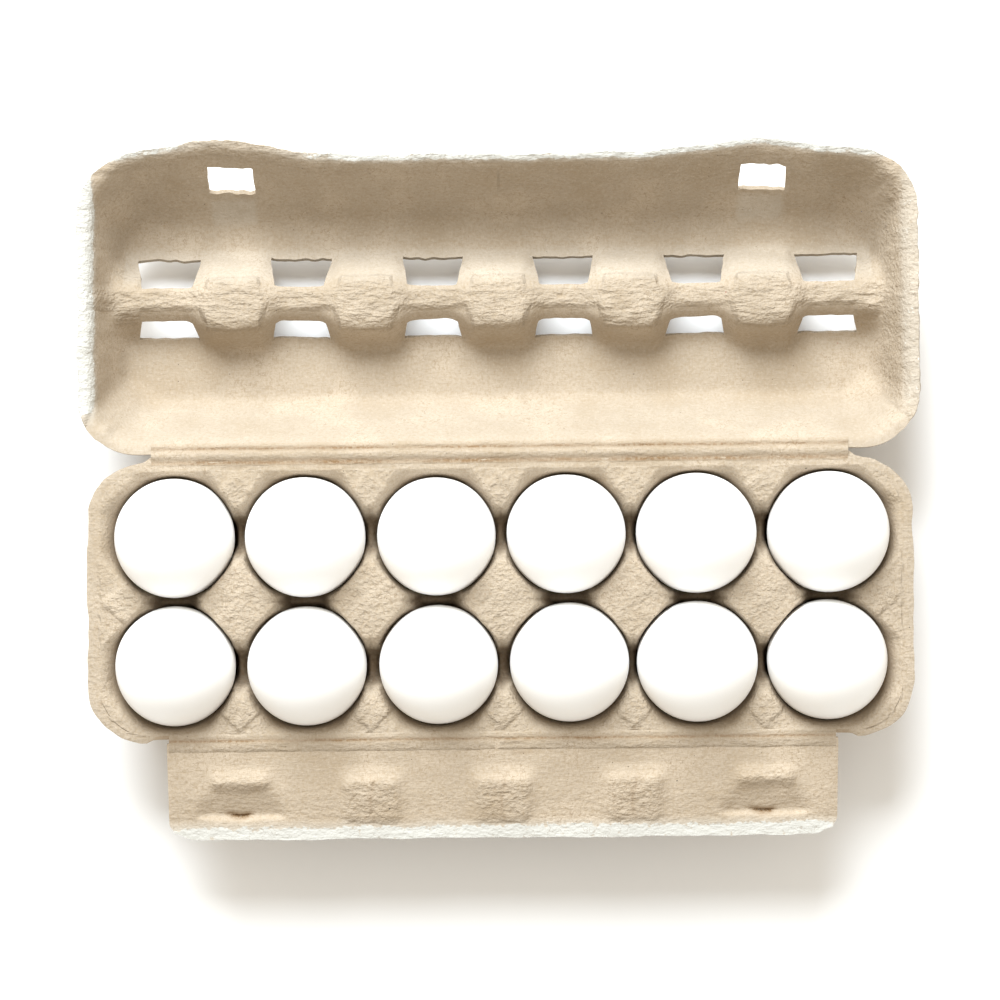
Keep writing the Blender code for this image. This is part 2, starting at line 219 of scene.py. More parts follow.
def new_material(name, base, roughness):
    """A material with its shader, a wire to read places from and a wire of its base colour."""
    material = bpy.data.materials.new(name)
    material.use_nodes = True
    shader = material.node_tree.nodes["Principled BSDF"]
    shader.inputs["Roughness"].default_value = roughness
    shader.inputs["Metallic"].default_value = 0.0
    start = Wire(material.node_tree, None)
    place = start.node("ShaderNodeTexCoord", output=3)
    tone = place.node("ShaderNodeRGB")
    tone.socket.default_value = colour(base)
    return material, shader, place, tone


def colour(values):
    return (*values, 1.0)


def attach(wire, socket):
    wire.tree.links.new(wire.socket, socket)


def attach_relief(height, shader, strength, distance):
    """Lets a height show as small relief on a shader."""
    inputs = {"Height": height, "Strength": strength, "Distance": distance}
    attach(height.node("ShaderNodeBump", {}, inputs), shader.inputs["Normal"])


# specks in the pulp: spacing and radius in millimetres, and between them the share of places that hold
# a speck; then the two colours that it may have and its strength
SPECKS = (
    (1.3, 0.22, 0.17, (0.17, 0.11, 0.06), (0.12, 0.075, 0.04), 0.60),
    (2.7, 0.20, 0.24, (0.09, 0.06, 0.035), (0.05, 0.035, 0.02), 0.80),
    (8.0, 0.17, 0.38, (0.05, 0.035, 0.02), (0.025, 0.027, 0.02), 0.92),
    (8.5, 0.09, 0.28, (0.30, 0.045, 0.03), (0.05, 0.09, 0.22), 0.80),
)


def pulp_material(name, base, painted_shade, grain_stretch):
    """Moulded pulp: a felted mass of fibres with dark and coloured specks, rougher where it is lumpy. Where
    one attribute lays painted shade it darkens to a brown; where another marks pale edges and painted
    highlights it pales.
    """
    material, shader, place, tone = new_material(name, base, 0.93)
    shader.inputs["Specular IOR Level"].default_value = 0.15
    lumps = place.node("ShaderNodeAttribute", {"attribute_name": "lumps"}, output=2)
    shaded = place.node("ShaderNodeAttribute", {"attribute_name": "painted_shade"}, output=2)
    bleach_and_painted_light = place.node("ShaderNodeAttribute", {"attribute_name": "bleach_and_painted_light"}, output=2)

    cloud = place.grain(22 * MM, 2.0)
    felt = place.grain(1.1 * MM, 3.0)
    dust = place.grain(0.40 * MM, 1.0)
    threads = place.grain(0.55 * MM, 1.0, (0.22, 1.0, 1.0)) + place.grain(0.55 * MM, 1.0, (1.0, 0.22, 1.0))
    pale = colour([min(1.0, c * 1.16 + 0.012) for c in base])
    deep = colour([base[0] * 0.84, base[1] * 0.78, base[2] * 0.68])
    shade = tone.mixed(pale, cloud.above(0.46, 0.70) * 0.8)
    shade = shade.mixed(deep, cloud.above(0.50, 0.30) * 0.35)
    shade = shade.mixed(deep, felt.above(0.50, 0.33) * 0.45)
    shade = shade.mixed(pale, felt.above(0.53, 0.72) * 0.55)
    shade = shade.mixed(deep, threads.above(1.0, 0.72) * 0.45)
    shade = shade.mixed(deep, dust.above(0.50, 0.34) * 0.30)
    # pale torn edges, partly painted highlight and painted light: a haze, then patches past a threshold
    white = colour([0.56, 0.55, 0.51])
    shade = shade.mixed(white, bleach_and_painted_light * 0.55)
    border = bleach_and_painted_light * 1.6 + (felt - 0.5) * 0.9 + (place.grain(5 * MM, 3.0) - 0.5) * 1.4
    shade = shade.mixed(white, border.above(0.84, 1.04))

    # dark threads, then specks whose outlines are torn by a fine warp
    swirl = place.node(
        "ShaderNodeVectorMath", {"operation": "MULTIPLY_ADD"},
        {0: place.node("ShaderNodeTexNoise", {}, {"Vector": place, "Scale": 1100.0}, output=1),
         1: (0.8 * MM,) * 3, 2: place})
    line = place.grain(4.5 * MM, 2.0) - 0.5
    hair = line.maths("ABSOLUTE", line).above(0.012, 0.004) * cloud.above(0.50, 0.60)
    shade = shade.mixed(colour((0.20, 0.13, 0.07)), hair * 0.35)
    for spacing, chance, radius, tint, other, strength in SPECKS:
        settings = {"Vector": swirl, "Scale": 1.0 / (spacing * MM), "Randomness": 1.0}
        near = swirl.node("ShaderNodeTexVoronoi", {}, settings)
        lot = near.sibling("Color")
        drawn = lot.node("ShaderNodeSeparateColor", {}, {0: lot})
        ink = near.node(
            "ShaderNodeMix", {"data_type": "RGBA"},
            {0: drawn.sibling(1).above(0.45, 0.55), 6: colour(tint), 7: colour(other)}, output=2)
        spot = near.above(radius / spacing, radius / spacing * 0.5) * drawn.above(0.99 - chance, 1.0 - chance)
        shade = shade.mixed(ink, spot * strength)
    # painted shade, laid with a felted edge wherever its attribute marks cups, saddles, grooves, slits and
    # folds
    shade = shade.mixed(colour(painted_shade), shaded * (0.35 + 0.65 * felt.above(0.35, 0.6)))
    attach(shade, shader.inputs["Base Color"])

    crumbs = place.grain(1.5 * MM, 3.0, grain_stretch)
    fluff = place.grain(3.4 * MM, 3.0, grain_stretch)
    height = (threads * 0.09 + felt * (0.12 + 0.35 * lumps) + crumbs * (0.05 + 0.95 * lumps)
              + fluff * (0.04 + 0.8 * lumps))
    attach_relief(height, shader, 1.0, 1.0 * MM)
    return material


def shell_material(name, base):
    """Eggshell: matt white, with fine pores and a few chalky grains."""
    material, shader, place, tone = new_material(name, base, 0.52)
    shader.inputs["Specular IOR Level"].default_value = 0.35
    cloud = place.grain(14 * MM, 2.0)
    warm = colour([base[0] * 0.995, base[1] * 0.975, base[2] * 0.945])
    shade = tone.mixed(warm, cloud.above(0.45, 0.75) * 0.6)
    pores = place.grain(0.6 * MM, 3.0)
    shade = shade.mixed(warm, pores.above(0.55, 0.75) * 0.5)
    attach(shade, shader.inputs["Base Color"])
    grains = place.node("ShaderNodeTexVoronoi", {}, {"Vector": place, "Scale": 1.0 / (1.9 * MM)})
    scatter = place.grain(9 * MM, 2.0).above(0.56, 0.68)
    bumps = grains.above(0.16, 0.02) * scatter
    height = pores * 0.35 + bumps * 0.8
    attach_relief(height, shader, 0.35, 0.16 * MM)
    attach(0.48 + 0.10 * pores, shader.inputs["Roughness"])
    return material


def floor_material(name, base):
    material, shader, place, tone = new_material(name, base, 0.85)
    soft = colour([c * 0.985 for c in base])
    attach(tone.mixed(soft, place.grain(60 * MM, 2.0).above(0.4, 0.7)), shader.inputs["Base Color"])
    return material


# ---------------------------------------------------------------- sheets

def pick(piece):
    """Selects one piece alone and makes it active."""
    bpy.ops.object.select_all(action="DESELECT")
    piece.hide_set(False)
    piece.select_set(True)
    bpy.context.view_layer.objects.active = piece


def read_values(holder, key, width=1):
    """The values that a list of mesh elements holds, one row each."""
    values = np.zeros(len(holder) * width, np.float32)
    holder.foreach_get(key, values)
    return values if width == 1 else values.reshape(-1, width)


def write_places(mesh, places):
    mesh.vertices.foreach_set("co", places.reshape(-1).astype(np.float32))


def grid_sheet(name, places, marks, holes=None):
    """A grid moved to a table of places; marks are float attributes; holes flag the faces cut away."""
    rows, columns = places.shape[:2]
    bpy.ops.object.select_all(action="DESELECT")
    bpy.ops.mesh.primitive_grid_add(x_subdivisions=columns - 1, y_subdivisions=rows - 1, size=1)
    piece = bpy.context.object
    piece.name = name
    mesh = piece.data
    mesh.name = name
    write_places(mesh, places)
    for mark, values in marks.items():
        attribute = mesh.attributes.new(mark, "FLOAT", "POINT")
        attribute.data.foreach_set("value", values.reshape(-1).astype(np.float32))
    if holes is not None:
        cut = holes.reshape(-1)
        mesh.polygons.foreach_set("select", cut)
        mesh.vertices.foreach_set("select", np.zeros(len(mesh.vertices), bool))
        mesh.edges.foreach_set("select", np.zeros(len(mesh.edges), bool))
        bpy.ops.object.mode_set(mode="EDIT")
        bpy.ops.mesh.select_mode(type="FACE")
        bpy.ops.mesh.delete(type="FACE")
        bpy.ops.mesh.select_all(action="DESELECT")
        bpy.ops.object.mode_set(mode="OBJECT")
    return piece


def merge(piece, distance):
    """Welds the seams of a joined sheet and turns its faces one way."""
    pick(piece)
    bpy.ops.object.mode_set(mode="EDIT")
    bpy.ops.mesh.select_mode(type="VERT")
    bpy.ops.mesh.select_all(action="SELECT")
    bpy.ops.mesh.remove_doubles(threshold=distance)
    bpy.ops.mesh.dissolve_degenerate(threshold=distance / 4)
    bpy.ops.mesh.select_all(action="SELECT")
    bpy.ops.mesh.normals_make_consistent(inside=False)
    bpy.ops.mesh.select_all(action="DESELECT")
    bpy.ops.object.mode_set(mode="OBJECT")


def apply_modifier(piece, kind, settings):
    pick(piece)
    modifier = piece.modifiers.new(kind.lower(), kind)
    for name, value in settings.items():
        setattr(modifier, name, value)
    bpy.ops.object.modifier_apply(modifier=modifier.name)


def soften(piece, rounds):
    """Rounds off the creases of a sheet."""
    apply_modifier(piece, "SMOOTH", {"factor": 0.5, "iterations": rounds})


def raise_by(piece, mark):
    """Moves each vertex along its normal by the height that a mark gives."""
    mesh = piece.data
    heights = read_values(mesh.attributes[mark].data, "value")
    normals = read_values(mesh.vertex_normals, "vector", 3)
    write_places(mesh, read_values(mesh.vertices, "co", 3) + normals * heights[:, None])
    mesh.attributes.remove(mesh.attributes[mark])
    mesh.update()


WEIGHT_STEPS = 20


def lump_group(piece, floor_share):
    """A vertex group that follows the lumps attribute, never less than floor_share."""
    values = read_values(piece.data.attributes["lumps"].data, "value")
    group = piece.vertex_groups.new(name="lumps")
    steps = np.clip(np.round(np.maximum(values, floor_share) * WEIGHT_STEPS).astype(int), 0, WEIGHT_STEPS)
    for step in range(WEIGHT_STEPS + 1):
        chosen = np.flatnonzero(steps == step)
        if len(chosen):
            group.add([int(n) for n in chosen], step / WEIGHT_STEPS, "REPLACE")
    return group.name


def roughen(piece, texture_name, size, height, group):
    """Raises lumps of that size and height along the normals."""
    texture = bpy.data.textures.new(texture_name, "CLOUDS")
    texture.noise_scale = size
    texture.noise_depth = 2
    settings = {
        "texture": texture, "texture_coords": "LOCAL", "mid_level": 0.5, "strength": height,
        "vertex_group": group,
    }
    apply_modifier(piece, "DISPLACE", settings)


def thicken(piece, thickness):
    apply_modifier(piece, "SOLIDIFY", {
        "thickness": thickness, "offset": -1.0, "use_even_offset": False, "use_rim": True,
    })


def finish_sheet(piece, material, body, node, lowest):
    """Shades a sheet, keeps it above the table and hands it to its body."""
    mesh = piece.data
    places = read_values(mesh.vertices, "co", 3)
    places[:, 2] = np.maximum(places[:, 2], lowest)
    write_places(mesh, places)
    piece.vertex_groups.clear()
    mesh.materials.clear()
    mesh.materials.append(material)
    pick(piece)
    bpy.ops.object.shade_smooth_by_angle(angle=math.radians(55.0))
    if node:
        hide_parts(node)
    if body:
        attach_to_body(piece, body)


def smoothstep(low, high, value):
    """0 below low, 1 above high, smooth between."""
    share = np.clip((value - low) / (high - low), 0.0, 1.0)
    return share * share * (3.0 - 2.0 * share)


def fade(low, high, value):
    """1 below low, 0 above high, smooth between."""
    return 1.0 - smoothstep(low, high, value)


def bell(away, width):
    """1 where away is 0, dying out over about that width."""
    return np.exp(-(away / width) ** 2)


def middle_of(number, count, pitch):
    """Place of one of a row of things that stands centred on 0."""
    return (number - (count - 1) / 2) * pitch


def wobble(x, y, size, seed):
    """Smooth noise between about -1 and 1 at each of many places."""
    flat = [
        noise.noise(Vector((a / size, b / size, seed)))
        for a, b in zip(np.ravel(x), np.ravel(y))
    ]
    return np.array(flat).reshape(np.shape(x))


def refine(knots, counts):
    """Places along a line of knots, each stretch cut into its count of even steps."""
    line = [knots[0]]
    for first, second, count in zip(knots, knots[1:], counts):
        line += [first + (second - first) * k / count for k in range(1, count + 1)]
    return np.array(line)


def spread(table, row_counts, column_counts):
    """A table of values at key lines, filled in between the lines."""
    tall = np.array([refine(list(line), row_counts) for line in table.T]).T
    return np.array([refine(list(line), column_counts) for line in tall])


# ---------------------------------------------------------------- lid

def lid_key_columns():
    """Kind, place and side or share of each of the lid's key lines across."""
    lines = [("wall", inset * MM - LID_HALF, share) for inset, share in SIDE_WALL]
    for k in range(COLUMNS):
        centre = middle_of(k, COLUMNS, LID_PITCH)
        lines += [("window", centre, -1.0), ("window", centre, 1.0)]
        if k < COLUMNS - 1:
            pad = centre + LID_PITCH / 2
            lines += [("pad", pad, -1.0), ("pad", pad, 1.0)]
    lines += [("wall", LID_HALF - inset * MM, share) for inset, share in reversed(SIDE_WALL)]
    return lines


def lid_key_tables():
    """X, U and depth where the lid's key lines cross."""
    columns = lid_key_columns()
    rows = [("near", k) for k in range(4)] + [("rib", k) for k in range(6)] + [("far", k) for k in range(6)]
    key_x, key_u, depth = (np.zeros((len(rows), len(columns))) for _ in range(3))
    for r, (part, number) in enumerate(rows):
        for c, (kind, centre, side) in enumerate(columns):
            share = 1.0
            if part == "rib":
                u = (PAD_ROWS if kind == "pad" else RIB_ROWS)[number]
                half = (PAD_HALF if kind == "pad" else WINDOW_HALF)[number]
            else:
                u, share = (NEAR_WALL if part == "near" else FAR_WALL)[number]
                half = LOCK_HALF if kind == "pad" else WINDOW_HALF[0]
            if kind == "wall":
                x, share = centre, min(share, side)
            else:
                x = centre + side * half * MM
            level = LID_DEPTH * share
            if part == "rib":
                rise = RIB_RISE[number] * (PAD_HEIGHT if kind == "pad" else RIB_HEIGHT)
                level = min(level, LID_DEPTH - rise)
            key_x[r, c], key_u[r, c], depth[r, c] = x, u * MM, level
    return key_x, key_u, depth


# even steps between the lid's key rows, and which of them the openings take
ROW_COUNTS = (4, 9, 10, 22, 7, 4, 5, 6, 14, 8, 7, 8, 8, 6, 3)
NEAR_WINDOW, FAR_WINDOW, LOCK_HOLE = 4, 8, 12


def column_counts():
    """Even steps between the lid's key columns."""
    counts = [3, 7, 7, 4]
    for k in range(COLUMNS):
        counts.append(20)
        if k < COLUMNS - 1:
            counts += [4, 18, 4]
    return tuple(counts + [4, 7, 7, 3])


def round_off(table, rounds):
    """Evens out the creases of a table of places; its outer edges stay where they are."""
    for _ in range(rounds):
        around = table[:-2, 1:-1] + table[2:, 1:-1] + table[1:-1, :-2] + table[1:-1, 2:]
        table[1:-1, 1:-1] = 0.5 * table[1:-1, 1:-1] + 0.125 * around
    return table


def lid_round(x, u, depth):
    """Rounds the rings about each corner's centre and cuts the corner off with a slanting facet."""
    middle = LID_REACH / 2
    reach_x = np.abs(x) - (LID_HALF - LID_CORNER)
    reach_u = np.abs(u - middle) - (middle - LID_CORNER)
    corner = (reach_x > 0.0) & (reach_u > 0.0)
    ring = np.maximum(reach_x, reach_u)
    angle = np.arctan2(np.maximum(reach_u, 1e-9), np.maximum(reach_x, 1e-9))
    round_x = np.sign(x) * (LID_HALF - LID_CORNER + ring * np.cos(angle))
    round_u = middle + np.sign(u - middle) * (middle - LID_CORNER + ring * np.sin(angle))
    x, u = np.where(corner, round_x, x), np.where(corner, round_u, u)
    across = (LID_HALF - np.abs(x) + np.minimum(u, LID_REACH - u)) / math.sqrt(2.0)
    facet = np.maximum(FACET_SLOPE * (across - FACET_INSET), 0.0)
    return x, u, np.minimum(depth, facet)


def lid_bulge(x):
    """How far the far wall swells out beside the lock holes."""
    return sum(size * bell(x - centre, BULGE_SPREAD) for centre, size in BULGES)


def lid_to_row(x, u, depth):
    """Places of the lid in the carton's frame, set on its fold line and tilted by its open angle."""
    cosine, sine = math.cos(LID_TILT), math.sin(LID_TILT)
    y = HINGE.y + u * cosine - depth * sine
    z = HINGE.z - u * sine - depth * cosine
    return np.stack((x, y, z), axis=-1)


def lid_marks(x, u):
    """Where the lid is lumpy and where it is paled: its rim flanges, partly pale edge and partly painted
    highlight, painted highlight on the near wall and the rib's back slopes and painted pools of light below
    the lock holes; it has no painted shade.
    """
    pads = np.zeros_like(x)
    for k in range(COLUMNS - 1):
        across = np.abs(x - middle_of(k, COLUMNS - 1, LID_PITCH)) / (12.8 * MM)
        along = np.abs(u - PAD_MIDDLE) / (9.8 * MM)
        away = np.maximum(across + 0.28 * along, along)
        pads = np.maximum(pads, fade(0.88, 1.08, away))
    rib = 0.8 * fade(2.5 * MM, 5.5 * MM, np.abs(u - RIB_MIDDLE))
    side, far = LID_HALF - np.abs(x), LID_REACH + lid_bulge(x) - u
    reach = np.where(x > 0.0, 11.0 * MM, 5.0 * MM) * smoothstep(4 * MM, 24 * MM, u) + 1.0 * MM
    torn = fade(0.7, 1.2, np.minimum(side, far) / reach)
    buttress = smoothstep(131 * MM, 134 * MM, np.abs(x)) * fade(139 * MM, 143 * MM, np.abs(x))
    buttress *= fade(9.0 * MM, 13.0 * MM, np.abs(u - 61 * MM))
    lumps = np.maximum.reduce([pads, rib, 0.65 * torn, 0.9 * buttress])
    # the rim flanges at the sides and the far edge paled: partly pale torn edge, partly painted highlight on
    # the lit flat flange, more on the left
    sides = fade(4.6 * MM, 6.8 * MM, side) * np.where(x > 0.0, 0.40, 0.95)
    back = fade(1.4 * MM, 3.6 * MM, far) * (0.75 - 0.6 * bell(x + 92 * MM, 24 * MM))
    bleach_and_painted_light = np.maximum(sides, back) * smoothstep(6 * MM, 20 * MM, u)
    # painted pools of light on the wall below the lock holes
    for pad in LOCKS:
        across = fade(7.0 * MM, 9.5 * MM, np.abs(x - middle_of(pad, COLUMNS - 1, LID_PITCH)))
        below = smoothstep(84 * MM, 90 * MM, u) * fade(94.2 * MM, 95.6 * MM, u)
        bleach_and_painted_light = np.maximum(bleach_and_painted_light, 0.35 * across * below)
    # painted highlight on the near wall and the rib's back slopes, which face the light
    near = fade(15.0 * MM, 22.0 * MM, u)
    slope_highlight = smoothstep(62 * MM, 67 * MM, u) * fade(75.0 * MM, 79.0 * MM, u) * (side > 14 * MM)
    bleach_and_painted_light = np.maximum.reduce([bleach_and_painted_light, 0.12 * near, 0.24 * slope_highlight])
    return {"lumps": np.clip(lumps, 0.04, 1.0), "painted_shade": 0.0 * x, "bleach_and_painted_light": bleach_and_painted_light}


def lid_ragged(x, u, depth, waviness):
    """Lets the lid's torn edges wander, most at its rim, its lock holes and its far windows."""
    inner = smoothstep(2.0 * MM, 9.0 * MM, u)
    edge = np.minimum(LID_HALF - np.abs(x), LID_REACH + lid_bulge(x) - u)
    torn = 0.8 * fade(0.5 * MM, 3.0 * MM, edge)
    ragged = waviness * inner
    hole = 1.6 * fade(9.0 * MM, 11.0 * MM, np.abs(np.abs(x) - 2.0 * LID_PITCH))
    hole = hole * fade(4.0 * MM, 6.5 * MM, np.abs(u - 99.5 * MM))
    window = 1.2 * fade(0.6 * MM, 2.2 * MM, np.abs(u - RIB_ROWS[-1] * MM)) * (np.abs(x) < 136 * MM)
    near_x = 0.5 * wobble(x, u, 3.5 * MM, 1.0) + wobble(x, u, 15 * MM, 2.0)
    near_u = 0.6 * wobble(x, u, 3.5 * MM, 3.0) + wobble(x, u, 15 * MM, 4.0)
    x = x + ragged * (near_x + torn * wobble(x, u, 2.6 * MM, 6.0))
    near_u = near_u + torn * wobble(x, u, 2.6 * MM, 8.0)
    u = u + ragged * (near_u + (window + hole) * wobble(x, u, 3.2 * MM, 9.0))
    return x, u, depth + inner * 0.5 * MM * wobble(x, u, 26 * MM, 5.0)


def wrinkles(x, u, lumps):
    """Creases of wet pulp that run along the rib, its pads and its buttresses."""
    fold = wobble(x / 3.2, u, 1.9 * MM, 41.0) + 0.6 * wobble(x / 2.0, u, 3.6 * MM, 42.0)
    return 0.55 * MM * fold * smoothstep(0.5, 0.9, lumps)


class CARTON_OT_lid(bpy.types.Operator):
    """Press the lid: its walls, the rib with five pads, twelve windows and two lock holes"""
    bl_idname = "carton.press_lid"
    bl_label = "Lid"

    def execute(self, context):
        sizes, colours = context.scene.carton_sizes, context.scene.carton_colours
        counts = column_counts()
        key_x, key_u, key_depth = lid_key_tables()
        x, u, depth = (spread(table, ROW_COUNTS, counts) for table in (key_x, key_u, key_depth))
        share = depth / LID_DEPTH
        x, u, depth = lid_round(x, u, depth)
        u = np.where(u > 80 * MM, u + lid_bulge(x) * (1.0 - share) * smoothstep(80 * MM, 90 * MM, u), u)
        x, u, depth = np.moveaxis(round_off(np.stack((x, u, depth), axis=-1), 18), -1, 0)
        marks = lid_marks(x, u)
        x, u, depth = lid_ragged(x, u, depth, sizes.waviness)
        marks["wrinkle"] = wrinkles(x, u, marks["lumps"])
        piece = grid_sheet("lid_sheet", lid_to_row(x, u, depth), marks, self.openings(counts))
        soften(piece, 1)
        raise_by(piece, "wrinkle")
        group = lump_group(piece, 0.06)
        roughen(piece, "lid lumps", 5.0 * MM, sizes.roughness, group)
        roughen(piece, "lid grain", 1.8 * MM, sizes.roughness * 0.7, group)
        thicken(piece, sizes.pulp)
        material = pulp_material("lid pulp", colours.pulp, colours.painted_shade, (0.38, 1.0, 1.0))
        finish_sheet(piece, material, "lid", "lid", 0.2 * MM)
        return {"FINISHED"}

    def openings(self, counts):
        """Faces of the fine grid inside the windows and the lock holes."""
        row_ends, column_ends = np.cumsum((0,) + ROW_COUNTS), np.cumsum((0,) + counts)
        holes = np.zeros((row_ends[-1], column_ends[-1]), bool)
        for k in range(COLUMNS):
            first, last = column_ends[4 + 4 * k], column_ends[5 + 4 * k]
            for row in (NEAR_WINDOW, FAR_WINDOW):
                holes[row_ends[row]:row_ends[row + 1], first:last] = True
        for pad in LOCKS:
            first, last = column_ends[6 + 4 * pad], column_ends[7 + 4 * pad]
            holes[row_ends[LOCK_HOLE]:row_ends[LOCK_HOLE + 1], first:last] = True
        return holes


# ---------------------------------------------------------------- tray

# an egg's length, how far its widest place stands out and what share of the length lies below it
EGG_LENGTH, EGG_REACH, EGG_WIDEST = 57.0 * MM, 21.85 * MM, 0.565


def egg_axis(node):
    """Foot and top of a packed egg."""
    places = [vertex.co.copy() for vertex in node.data.vertices]
    return min(places, key=lambda p: p.z), max(places, key=lambda p: p.z)


def cell_corners(column, row):
    """The corners of an egg's cell, counter-clockwise; the outer cells reach out to the rim."""
    xs = [(column + k - COLUMNS / 2) * PITCH_X for k in (0, 1)]
    ys = [(row + k - ROWS / 2) * PITCH_Y for k in (0, 1)]
    xs = [math.copysign(EDGE_X, x) if abs(x) > EDGE_X - 3 * MM else x for x in xs]
    ys = [math.copysign(EDGE_Y, y) if abs(y) > EDGE_Y - 3 * MM else y for y in ys]
    return [np.array((xs[a], ys[b])) for a, b in ((0, 0), (1, 0), (1, 1), (0, 1))]


def on_rim(places):
    """Which places lie on the rim's inner edge."""
    x, y = np.abs(places[:, 0]), np.abs(places[:, 1])
    return (x > EDGE_X - 0.1 * MM) | (y > EDGE_Y - 0.1 * MM)


def rim_round(places):
    """Moves points of the rim's inner edge onto its rounded corners."""
    centre = np.array((EDGE_X - TRAY_CORNER, EDGE_Y - TRAY_CORNER))
    reach = np.abs(places) - centre
    corner = (reach > 0.0).all(axis=1)
    length = np.maximum(np.hypot(reach[:, 0], reach[:, 1]), 1e-9)
    turned = np.sign(places) * (centre + reach / length[:, None] * TRAY_CORNER)
    return np.where(corner[:, None], turned, places)


def corner_legs(corner):
    """Half diagonals of the post at a cell's corner."""
    at_end, at_side = abs(corner[0]) > EDGE_X - 0.1 * MM, abs(corner[1]) > EDGE_Y - 0.1 * MM
    return np.array(POST_LEGS[bool(at_end), bool(at_side)]) * MM


def cell_side(start, end):
    """Points from one corner of a cell towards the next, their heights and how far each is a post."""
    shares = np.arange(SIDE_POINTS) / SIDE_POINTS
    square = start + (end - start) * shares[:, None]
    at_rim = [bool(on_rim(corner[None])[0]) for corner in (start, end)]
    axis = int(np.argmax(np.abs(end - start)))
    legs = [corner_legs(corner)[axis] / abs(end - start)[axis] for corner in (start, end)]
    legs = np.where(shares < 0.5, *legs)
    nearest = np.minimum(shares, 1.0 - shares)
    top = POST_TOP + (POST_TIP - POST_TOP) * np.clip(nearest / legs, 0.0, 1.0)
    top = np.where(np.where(shares < 0.5, *at_rim), top - 1.2 * MM, top)
    fall = smoothstep(legs - 0.02, legs + 0.09, nearest)
    height = top + (SADDLE_TOP - top) * fall
    rim = on_rim(square)
    height = np.where(rim, RIM_HEIGHT, height)
    post = np.where(rim, 0.55 - 0.3 * smoothstep(legs - 0.05, legs + 0.05, nearest), 1.0 - fall)
    return rim_round(square), height, post


def cell_outline(column, row):
    """Points round a cell, their heights and how far each is a post."""
    corners = cell_corners(column, row)
    sides = [cell_side(start, end) for start, end in zip(corners, corners[1:] + corners[:1])]
    return tuple(np.concatenate([side[part] for side in sides]) for part in range(3))


# down a cup's wall: share of the way out from its narrow part to its mouth, and share of the way down
CUP_WALL = ((1.0, 0.02), (0.80, 0.09), (0.60, 0.20), (0.42, 0.36), (0.22, 0.62), (0.0, 1.0))
CUP_LEDGE = 32.0 * MM
# below the ledge: radius and height in millimetres, and how far each ring follows its egg aside
CUP_BOTTOM = ((21.9, 20.0), (19.8, 12.0), (12.5, 1.8), (0.0, 1.8))
CUP_FOLLOW = (1.0, 0.6, 0.3, 0.0)
CUP_COUNTS = (11, 1, 1, 1, 2, 2, 3, 3, 5, 3)


def mouth_reach(toward, corners, centre):
    """How far out the straight edges of the four posts let a cup's mouth reach."""
    reach = np.ones(len(toward))
    for corner in corners:
        offset, legs = corner - centre, corner_legs(corner)
        facing = (toward * np.sign(offset) > 0.0).all(axis=1)
        edge = ((np.abs(offset) / legs).sum() - 1.0) / (np.abs(toward) / legs).sum(axis=1)
        reach = np.where(facing, edge, reach)
    return reach


def cup_sheet(column, row):
    """One cell from its ridges, over the mouth of the cup and down its wall to the foot."""
    centre = np.array((middle_of(column, COLUMNS, PITCH_X), middle_of(row, ROWS, PITCH_Y)))
    foot, top = egg_axis(frame["nodes"][f"egg_{(ROWS - 1 - row) * COLUMNS + column + 1}"])
    girth = foot + (top - foot) * EGG_WIDEST
    lean = np.array((girth.x, girth.y - TRAY_Y)) - centre
    egg_reach = EGG_REACH * (top - foot).length / EGG_LENGTH
    places, height, post = cell_outline(column, row)
    spoke = places - centre
    length = np.hypot(spoke[:, 0], spoke[:, 1])
    mouth = mouth_reach(spoke / length[:, None], cell_corners(column, row), centre)
    mouth = np.minimum(mouth, length - 0.5 * MM)
    narrow = np.minimum(np.minimum(length - 2.1 * MM, egg_reach - 0.1 * MM), mouth - 0.6 * MM)
    ledge = np.minimum(CUP_LEDGE, height - 4.0 * MM)
    knot_reach, knot_height = [length], [height]
    follow = refine([0.0] + [1.0 - out for out, _ in CUP_WALL] + list(CUP_FOLLOW), CUP_COUNTS)[:, None]
    for out, down in CUP_WALL:
        knot_reach.append(narrow + (mouth - narrow) * out)
        knot_height.append(height + (ledge - height) * down)
    for radius, level in CUP_BOTTOM:
        knot_reach.append(np.minimum(narrow - 0.3 * MM, radius * MM))
        knot_height.append(np.full_like(length, level * MM))
    reach = np.array([refine(list(line), CUP_COUNTS) for line in np.array(knot_reach).T]).T
    level = np.array([refine(list(line), CUP_COUNTS) for line in np.array(knot_height).T]).T
    x = centre[0] + spoke[:, 0] / length * reach + lean[0] * follow
    y = centre[1] + spoke[:, 1] / length * reach + lean[1] * follow
    table = np.stack((x, y + TRAY_Y, level), axis=-1)
    down = np.clip((height - level) / (20 * MM), 0.0, 1.0)
    lumps = np.clip((0.16 + 0.84 * post) * fade(0.05, 0.35, down), 0.10, 1.0)
    # painted shade: darker down the cup walls and on the low saddles between the eggs
    saddle = smoothstep(POST_TIP - 2 * MM, SADDLE_TOP + 2 * MM, height)
    painted_shade = np.maximum(0.62 * smoothstep(0.03, 0.5, down), 0.55 * saddle * np.ones_like(down))
    table, lumps, painted_shade = (np.concatenate((item, item[:, :1]), axis=1) for item in (table, lumps, painted_shade))
    marks = {"lumps": lumps, "painted_shade": painted_shade, "bleach_and_painted_light": 0.0 * lumps}
    return grid_sheet(f"cup_{column}_{row}", table, marks)


def rim_outside(point):
    """The outer edge of the rim beside a point of its inner edge."""
    place = []
    for axis, edge in ((0, EDGE_X), (1, EDGE_Y)):
        centre = edge - TRAY_CORNER
        size = abs(point[axis])
        if size > centre:
            size = centre + (size - centre) * (TRAY_HALF[axis] - centre) / TRAY_CORNER
        place.append(math.copysign(size, point[axis]))
    if abs(point[0]) < BAND_HALF and abs(point[1]) > EDGE_Y - 0.1 * MM:
        place[1] = BAND_BACK if point[1] > 0 else BAND_FRONT
    return np.array(place)


RIM_STEPS = 5


